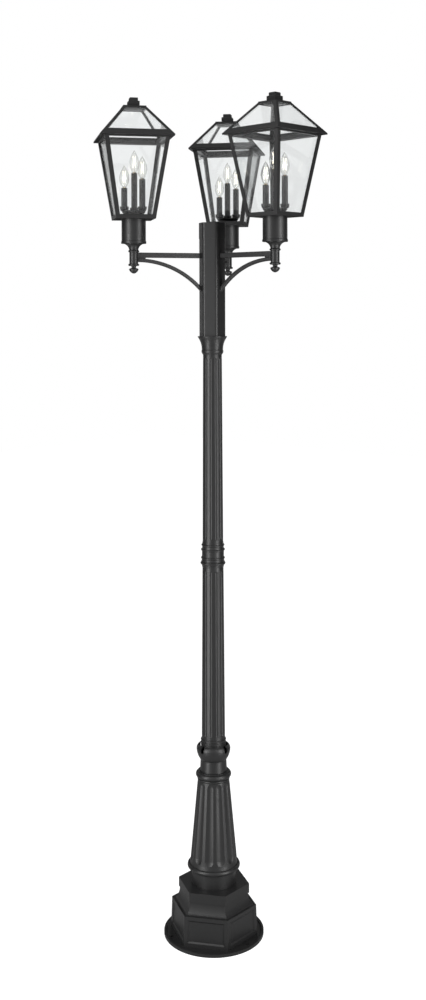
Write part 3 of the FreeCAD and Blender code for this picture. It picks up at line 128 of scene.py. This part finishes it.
def object_coordinates(material):
    """The node that gives a point's place on the object, in metres."""
    return material.node_tree.nodes.new("ShaderNodeTexCoord")


def math_node(tree, operation, *values):
    """The output of a math node; each value is a number or another node's output."""
    node = tree.nodes.new("ShaderNodeMath")
    node.operation = operation
    for socket, value in zip(node.inputs, values):
        if isinstance(value, float):
            socket.default_value = value
        else:
            tree.links.new(value, socket)
    return node.outputs[0]


# %% [markdown]
# ## Powder coat
#
# Powder is sprayed on dry and melts into a skin that is never quite flat.  Seen close it has a fine
# grain and a slower ripple, called orange peel.  Both are noise: the fine one mostly moves the
# highlight's sharpness, and the slow one tilts the surface a very little.  They are one node group,
# so that the coat, the sockets and the brass can share it with their own sizes and strengths.

# %% Grain group
def grain_group():
    """Fine grain and slow ripple: a tone that swings about 1, a roughness and a height."""
    group = bpy.data.node_groups.new("surface_grain", "ShaderNodeTree")
    for name, kind, value in (
        ("Vector", "NodeSocketVector", None),
        ("Grain Scale", "NodeSocketFloat", 1500.0),
        ("Ripple Scale", "NodeSocketFloat", 260.0),
        ("Tone Swing", "NodeSocketFloat", 0.1),
        ("Roughness Low", "NodeSocketFloat", 0.4),
        ("Roughness High", "NodeSocketFloat", 0.5),
    ):
        socket = group.interface.new_socket(name, in_out="INPUT", socket_type=kind)
        if value is not None:
            socket.default_value = value
    for name in ("Tone", "Roughness", "Height"):
        group.interface.new_socket(name, in_out="OUTPUT", socket_type="NodeSocketFloat")
    make, join = group.nodes.new, group.links.new
    given, result = make("NodeGroupInput"), make("NodeGroupOutput")
    grain, ripple = make("ShaderNodeTexNoise"), make("ShaderNodeTexNoise")
    for noise, scale in ((grain, "Grain Scale"), (ripple, "Ripple Scale")):
        noise.inputs["Detail"].default_value = 2.0
        join(given.outputs["Vector"], noise.inputs["Vector"])
        join(given.outputs[scale], noise.inputs["Scale"])
    both = math_node(group, "ADD", grain.outputs["Fac"], ripple.outputs["Fac"])
    height = math_node(group, "MULTIPLY", both, 0.5)
    join(height, result.inputs["Height"])
    rough = make("ShaderNodeMapRange")
    rough.inputs["From Min"].default_value = 0.35
    rough.inputs["From Max"].default_value = 0.65
    join(height, rough.inputs["Value"])
    join(given.outputs["Roughness Low"], rough.inputs["To Min"])
    join(given.outputs["Roughness High"], rough.inputs["To Max"])
    join(rough.outputs["Result"], result.inputs["Roughness"])
    centred = math_node(group, "SUBTRACT", ripple.outputs["Fac"], 0.5)
    join(math_node(group, "MULTIPLY_ADD", centred, given.outputs["Tone Swing"], 1.0), result.inputs["Tone"])
    return group


GRAIN = grain_group()
RELIEF_DEPTH = 0.0002


def add_grain(material, colour, bump, **values):
    """Puts the grain group between Object coordinates and the shader."""
    tree, shader = material.node_tree, principled(material)
    grain = tree.nodes.new("ShaderNodeGroup")
    grain.node_tree = GRAIN
    for socket, value in values.items():
        grain.inputs[socket.replace("_", " ")].default_value = value
    linked(material, object_coordinates(material), "Object", grain, "Vector")
    tint = tree.nodes.new("ShaderNodeVectorMath")
    tint.operation = "SCALE"
    tint.inputs[0].default_value = colour
    linked(material, grain, "Tone", tint, "Scale")
    linked(material, tint, "Vector", shader, "Base Color")
    linked(material, grain, "Roughness", shader, "Roughness")
    relief = tree.nodes.new("ShaderNodeBump")
    relief.inputs["Strength"].default_value = bump
    relief.inputs["Distance"].default_value = RELIEF_DEPTH
    linked(material, grain, "Height", relief, "Height")
    linked(material, relief, "Normal", shader, "Normal")


# %% Coats
COAT_COLOUR = (0.012, 0.012, 0.0122)
coat = new_material("black_powder_coat", COAT_COLOUR, 0.45)
add_grain(coat, COAT_COLOUR, 0.35, Roughness_Low=0.36, Roughness_High=0.46, Tone_Swing=0.25)

SOCKET_COLOUR = (0.02, 0.02, 0.02)
socket = new_material("black_socket_phenolic", SOCKET_COLOUR, 0.35)
add_grain(socket, SOCKET_COLOUR, 0.15, Grain_Scale=900.0, Roughness_Low=0.3, Roughness_High=0.4)

BRASS_COLOUR = (0.72, 0.56, 0.30)
brass = new_material("nickelled_brass_cap", BRASS_COLOUR, 0.25, Metallic=1.0)
add_grain(brass, BRASS_COLOUR, 0.1, Roughness_Low=0.2, Roughness_High=0.32, Tone_Swing=0.2)
print("finishes: powder coat, socket and brass")

# %% [markdown]
# ## Glass and glow
#
# The panes are ordinary clear float glass.  On a pale background they are seen mostly by the little
# light that they hold back, so their colour sits just under white.  The lamps' envelopes are much
# thinner, and a little greyer, which draws their edges.  The filaments give light of their own.

# %% Glass and filament
pane = new_material("clear_float_glass", (0.93, 0.94, 0.94), 0.0, Transmission_Weight=1.0, IOR=1.5)
envelope_glass = new_material("thin_lamp_glass", (0.90, 0.90, 0.89), 0.0, Transmission_Weight=1.0, IOR=1.45)
FILAMENT_COLOUR = (1.0, 0.93, 0.80)
filament = new_material("glowing_filament", FILAMENT_COLOUR, 0.5, Emission_Strength=2.6)
principled(filament).inputs["Emission Color"].default_value = (*FILAMENT_COLOUR, 1.0)
lead_wire = new_material("lead_wire", (0.6, 0.58, 0.5), 0.3, Metallic=1.0)
print("finishes: pane, lamp glass, filament and lead wire")

# %% Dress the CAD nodes
FINISH_OF_SLOT = {"coat": coat, "pane": pane, "socket": socket, "lamp": envelope_glass}
slots = {part["node"]: part["material_slot"] for part in frame["record"]["subparts"]}
for name, node in nodes.items():
    node.data.materials.clear()
    node.data.materials.append(FINISH_OF_SLOT[slots[name]])
print(f"dressed {len(nodes)} nodes")

# %% [markdown]
# ## Surfaces from arrays
#
# The lamps are made as surfaces worked out with numpy.  A turned shape is a profile carried round
# an axis, and a wire is a small circle carried along a path.  Both are grids of points, and one
# function joins a grid into a mesh.

# %% Grids to meshes
def grid_piece(name, grids, finish):
    """One object from grids of points; each grid is (rows, columns, xyz) and its columns close."""
    points, faces, start = [], [], 0
    for grid in grids:
        rows, columns = grid.shape[:2]
        index = start + np.arange(rows * columns).reshape(rows, columns)
        here, there = index[:-1], index[1:]
        quads = np.stack([here, np.roll(here, -1, 1), np.roll(there, -1, 1), there], -1)
        points.append(grid.reshape(-1, 3))
        faces.append(quads.reshape(-1, 4))
        start += rows * columns
    mesh = bpy.data.meshes.new(name)
    mesh.from_pydata(np.concatenate(points).tolist(), [], np.concatenate(faces).tolist())
    mesh.materials.append(finish)
    mesh.polygons.foreach_set("use_smooth", [True] * len(mesh.polygons))
    piece = bpy.data.objects.new(name, mesh)
    scene.collection.objects.link(piece)
    return piece


def turned_grid(profile, centre, steps=40):
    """Carries a profile of (radius, height) pairs round an upright axis through the centre.

    x = radius * cos(angle), y = radius * sin(angle), z = height, all from the centre.
    """
    profile = np.asarray(profile, float)
    angle = np.linspace(0.0, 2.0 * np.pi, steps, endpoint=False)
    radius, height = profile[:, :1], profile[:, 1:]
    across = radius * np.cos(angle)
    along = radius * np.sin(angle)
    up = np.broadcast_to(height, across.shape)
    return np.stack([across, along, up], -1) + np.asarray(centre)


def wire_grid(path, radius, steps=8):
    """Carries a circle along a path: point + radius * (side * cos(angle) + top * sin(angle))."""
    path = np.asarray(path, float)
    way = np.gradient(path, axis=0)
    way /= np.linalg.norm(way, axis=1, keepdims=True)
    guide = np.array([0.31, 0.94, 0.13])
    side = np.cross(way, guide)
    side /= np.linalg.norm(side, axis=1, keepdims=True)
    top = np.cross(way, side)
    angle = np.linspace(0.0, 2.0 * np.pi, steps, endpoint=False)
    ring = side[:, None] * np.cos(angle)[:, None] + top[:, None] * np.sin(angle)[:, None]
    tube = path[:, None] + radius * ring
    return np.concatenate([path[:1, None].repeat(steps, 1), tube, path[-1:, None].repeat(steps, 1)])


# %% [markdown]
# ## The candle lamps
#
# Each lamp is a flame-shaped glass envelope on a small screw cap.  Inside, a glass stem carries
# lead wires that open like a V to a cage of upright filaments.  The three are separate pieces,
# because they are different materials, and together they take the place of the plain CAD lamp.

# %% Lamp shapes
LAMP_FOOT_TO_SEAT = 0.015
LAMP_RADIUS, LAMP_BELLY, LAMP_TOP = 0.0174, 0.034, 0.0819
NECK_RADIUS, NECK_HEIGHT = 0.0058, 0.0015
GLASS_WALL = 0.0006
BELLY_SWELL, TIP_TAPER = 0.9, 1.9
CAP_RADIUS, CAP_FOOT, CAP_RIM = 0.0058, -0.0115, 0.0014
THREAD_DEPTH, THREAD_PITCH, THREAD_FADE = 0.0005, 0.00254, 0.001
CONTACT_PROFILE = [(0.0, -0.015), (0.0019, -0.0148), (0.0021, -0.0135), (0.0042, -0.0118)]
CAP_STEPS = 32


def flame_profile(shrink):
    """Envelope radius against height.

    Below the belly radius = neck + (belly - neck) * sin(rise * pi / 2) ** BELLY_SWELL.  Above it
    radius = belly * (1 - share ** TIP_TAPER), which draws it in to a point.  The inner skin lies
    inside the outer one by the shrink.
    """
    rise = np.linspace(0.0, 1.0, 14)
    low = NECK_RADIUS + (LAMP_RADIUS - NECK_RADIUS) * np.sin(rise * np.pi / 2.0) ** BELLY_SWELL
    low_height = NECK_HEIGHT + (LAMP_BELLY - NECK_HEIGHT) * rise
    share = np.linspace(0.0, 1.0, 26)[1:]
    high = LAMP_RADIUS * (1.0 - share ** TIP_TAPER)
    high_height = LAMP_BELLY + (LAMP_TOP - LAMP_BELLY) * share
    radius = np.concatenate([low, high])
    height = np.concatenate([low_height, high_height])
    return np.stack([np.maximum(radius - shrink, 0.0), height - shrink * (height > LAMP_BELLY)], -1)


def envelope_grid(seat):
    """Outer and inner skins of the envelope as one closed wall, joined round the open neck."""
    outer, inner = flame_profile(0.0), flame_profile(GLASS_WALL)
    return turned_grid(np.concatenate([inner[::-1], outer]), seat, 44)


def cap_grid(seat):
    """Screw shell with a true thread.

    radius = shell + depth * (1 + sin(2 pi (height / pitch - angle / 2 pi))) / 2, and the thread
    fades out towards both ends.
    """
    height = np.linspace(CAP_FOOT, CAP_RIM, 60)[:, None]
    angle = np.linspace(0.0, 2.0 * np.pi, CAP_STEPS, endpoint=False)[None]
    fade = np.clip((height - CAP_FOOT) / THREAD_FADE, 0.0, 1.0) * np.clip(-height / THREAD_FADE, 0.0, 1.0)
    wave = 0.5 + 0.5 * np.sin(2.0 * np.pi * height / THREAD_PITCH - angle)
    radius = CAP_RADIUS - THREAD_DEPTH + THREAD_DEPTH * wave * fade
    shell = np.stack([radius * np.cos(angle), radius * np.sin(angle), height + 0.0 * angle], -1)
    foot = turned_grid(CONTACT_PROFILE, (0, 0, 0), CAP_STEPS)
    lid = turned_grid([(0.0, CAP_RIM)], (0, 0, 0), CAP_STEPS)
    return np.concatenate([foot, shell, lid]) + np.asarray(seat)


FILAMENT_COUNT = 4
FILAMENT_CAGE, FILAMENT_WIRE = 0.0056, 0.0009
CAGE_FOOT, CAGE_TOP = 0.020, 0.060
LEAD_WIRE, LEAD_SPREAD, LEAD_FOOT, TIE_RISE = 0.0002, 0.0012, 0.008, 0.002
STEM_PROFILE = [
    (0.0, 0.0015), (0.0046, 0.0015), (0.0042, 0.003), (0.0024, 0.0065), (0.0018, 0.0095), (0.0, 0.0105),
]


def filament_paths(seat):
    """Upright filaments in a slightly waisted cage: radius = cage * (0.8 + 0.2 cos(2 pi share))."""
    share = np.linspace(0.0, 1.0, 9)
    height = CAGE_FOOT + (CAGE_TOP - CAGE_FOOT) * share
    radius = FILAMENT_CAGE * (0.8 + 0.2 * np.cos(2.0 * np.pi * share))
    paths = []
    for index in range(FILAMENT_COUNT):
        angle = 2.0 * np.pi * index / FILAMENT_COUNT
        path = np.stack([radius * np.cos(angle), radius * np.sin(angle), height], -1)
        paths.append(path + np.asarray(seat))
    return paths


def lead_paths(seat):
    """Lead wires from the stem, opening to the foot of each filament, and their tie at the top."""
    share = np.linspace(0.0, 1.0, 6)
    paths = []
    for index in range(FILAMENT_COUNT):
        angle = 2.0 * np.pi * index / FILAMENT_COUNT
        radius = LEAD_SPREAD + (FILAMENT_CAGE - LEAD_SPREAD) * share ** 1.5
        height = LEAD_FOOT + (CAGE_FOOT - LEAD_FOOT) * share
        foot = np.stack([radius * np.cos(angle), radius * np.sin(angle), height], -1)
        back = FILAMENT_CAGE * (1.0 - share)
        height = CAGE_TOP + TIE_RISE * np.sin(share * np.pi / 2.0)
        top = np.stack([back * np.cos(angle), back * np.sin(angle), height], -1)
        paths += [foot + np.asarray(seat), top + np.asarray(seat)]
    return paths


# %% Make the lamps
for name in sorted(node for node in nodes if node.startswith("bulb_")):
    low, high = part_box(name)
    seat = ((low[0] + high[0]) / 2.0, (low[1] + high[1]) / 2.0, low[2] + LAMP_FOOT_TO_SEAT)
    glass = grid_piece(name + "_glass", [envelope_grid(seat)], envelope_glass)
    cap = grid_piece(name + "_cap", [cap_grid(seat)], brass)
    wires = [wire_grid(path, FILAMENT_WIRE) for path in filament_paths(seat)]
    glow = grid_piece(name + "_filaments", wires, filament)
    wires = [wire_grid(path, LEAD_WIRE, 6) for path in lead_paths(seat)]
    leads = grid_piece(name + "_leads", wires, lead_wire)
    stem = grid_piece(name + "_stem", [turned_grid(STEM_PROFILE, seat, 20)], envelope_glass)
    for piece in (glass, cap, glow, leads, stem):
        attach(piece, name)
    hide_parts(name)
print("made the candle lamps")

# %% [markdown]
# ## The studio
#
# The photograph is on plain white.  The world is white to the camera and through the glass, and it is
# softer as a light and in reflections.  The floor glows for the camera, almost as bright as the
# world, so that only a faint shadow is left.

# %% World
def seen_directly(tree):
    """1 for a ray from the camera, straight or through glass, and 0 for any other ray."""
    path = tree.nodes.new("ShaderNodeLightPath")
    return math_node(tree, "MAXIMUM", path.outputs["Is Camera Ray"], path.outputs["Is Transmission Ray"])


WHITE = (1.0, 1.0, 1.0, 1.0)
WORLD_LIGHT, WORLD_SEEN = 0.55, 1.0
world = bpy.data.worlds.new("white_studio")
world.use_nodes = True
scene.world = world
tree = world.node_tree
tree.nodes.clear()
choose = tree.nodes.new("ShaderNodeMixShader")
tree.links.new(seen_directly(tree), choose.inputs["Fac"])
for slot_index, strength in ((1, WORLD_LIGHT), (2, WORLD_SEEN)):
    background = tree.nodes.new("ShaderNodeBackground")
    background.inputs["Color"].default_value = WHITE
    background.inputs["Strength"].default_value = strength
    tree.links.new(background.outputs[0], choose.inputs[slot_index])
output = tree.nodes.new("ShaderNodeOutputWorld")
tree.links.new(choose.outputs[0], output.inputs["Surface"])

# %% Floor
FLOOR_HALF = 12.0
FLOOR_GLOW = 0.85
corners = [(-FLOOR_HALF, -FLOOR_HALF, 0.0), (FLOOR_HALF, -FLOOR_HALF, 0.0),
           (FLOOR_HALF, FLOOR_HALF, 0.0), (-FLOOR_HALF, FLOOR_HALF, 0.0)]
floor_mesh = bpy.data.meshes.new("studio_floor")
floor_mesh.from_pydata(corners, [], [(0, 1, 2, 3)])
floor = bpy.data.objects.new("studio_floor", floor_mesh)
scene.collection.objects.link(floor)
floor_finish = new_material("white_floor", (0.4, 0.4, 0.4), 1.0, Specular_IOR_Level=0.0)
floor_tree, floor_shader = floor_finish.node_tree, principled(floor_finish)
glow_now = math_node(floor_tree, "MULTIPLY", seen_directly(floor_tree), FLOOR_GLOW)
floor_shader.inputs["Emission Color"].default_value = WHITE
floor_tree.links.new(glow_now, floor_shader.inputs["Emission Strength"])
floor_mesh.materials.append(floor_finish)
print("studio: white world and floor")

# %% [markdown]
# ## Soft boxes and flags
#
# A dark coat shows what stands round it.  In the photograph each round part has two long highlights,
# about twenty-five degrees to each side, and its edges are dark.  Two tall soft boxes give the highlights,
# and two faint ones light the back.  Black screens at the sides keep the edges dark, as in a
# photographer's studio.  They are seen only in reflections, so they take no light away.

# %% Soft boxes
BOX_HEIGHT, BOX_TALL = 1.6, 3.2


def soft_box(name, turn, distance, width, power):
    """A tall soft light that faces the post's axis; turn counts from the camera, in degrees."""
    data = bpy.data.lights.new(name, "AREA")
    data.shape = "RECTANGLE"
    data.size = width
    data.size_y = BOX_TALL
    data.energy = power
    lamp = bpy.data.objects.new(name, data)
    heading = CAMERA_TURN + math.radians(turn)
    lamp.location = (distance * math.cos(heading), distance * math.sin(heading), BOX_HEIGHT)
    lamp.rotation_euler = (math.radians(90.0), 0.0, heading + math.radians(90.0))
    scene.collection.objects.link(lamp)


soft_box("left_box", turn=-50.0, distance=1.7, width=0.4, power=38.0)
soft_box("right_box", turn=50.0, distance=1.7, width=0.4, power=36.0)
soft_box("rear_left_box", turn=-140.0, distance=2.6, width=0.6, power=5.0)
soft_box("rear_right_box", turn=140.0, distance=2.6, width=0.6, power=5.0)
print("studio: four soft boxes")

# %% Flags
FLAG_STEPS = 24
FLAG_RADIUS, CEILING_HOLE = 3.4, 1.7
FLAG_FOOT, FLAG_TOP = 0.02, 4.6
FLAG_EDGE, FLAG_BACK = 75.0, 177.0
flag_cloth = new_material("black_flag_cloth", (0.02, 0.02, 0.02), 1.0, Specular_IOR_Level=0.0)


def black_flag(name, turn_from, turn_to, foot, top):
    """A black screen that only reflections see.

    It stands between two arcs round the post's axis, and each arc is a radius and a height.  The turns
    count from the camera, in degrees.
    """
    headings = CAMERA_TURN + np.radians(np.linspace(turn_from, turn_to, FLAG_STEPS + 1))
    ways = np.stack([np.cos(headings), np.sin(headings)], -1)
    points = [(*(radius * way), height) for radius, height in (foot, top) for way in ways]
    faces = [(i, i + 1, i + FLAG_STEPS + 2, i + FLAG_STEPS + 1) for i in range(FLAG_STEPS)]
    mesh = bpy.data.meshes.new(name)
    mesh.from_pydata(points, [], faces)
    mesh.materials.append(flag_cloth)
    flag = bpy.data.objects.new(name, mesh)
    scene.collection.objects.link(flag)
    flag.visible_camera = False
    flag.visible_diffuse = False
    flag.visible_transmission = False
    flag.visible_shadow = False


wall_foot, wall_top = (FLAG_RADIUS, FLAG_FOOT), (FLAG_RADIUS, FLAG_TOP)
black_flag("left_flag", -FLAG_BACK, -FLAG_EDGE, wall_foot, wall_top)
black_flag("right_flag", FLAG_EDGE, FLAG_BACK, wall_foot, wall_top)
black_flag("ceiling_flag", 0.0, 360.0, wall_top, (CEILING_HOLE, FLAG_TOP))
print("studio: three flags")
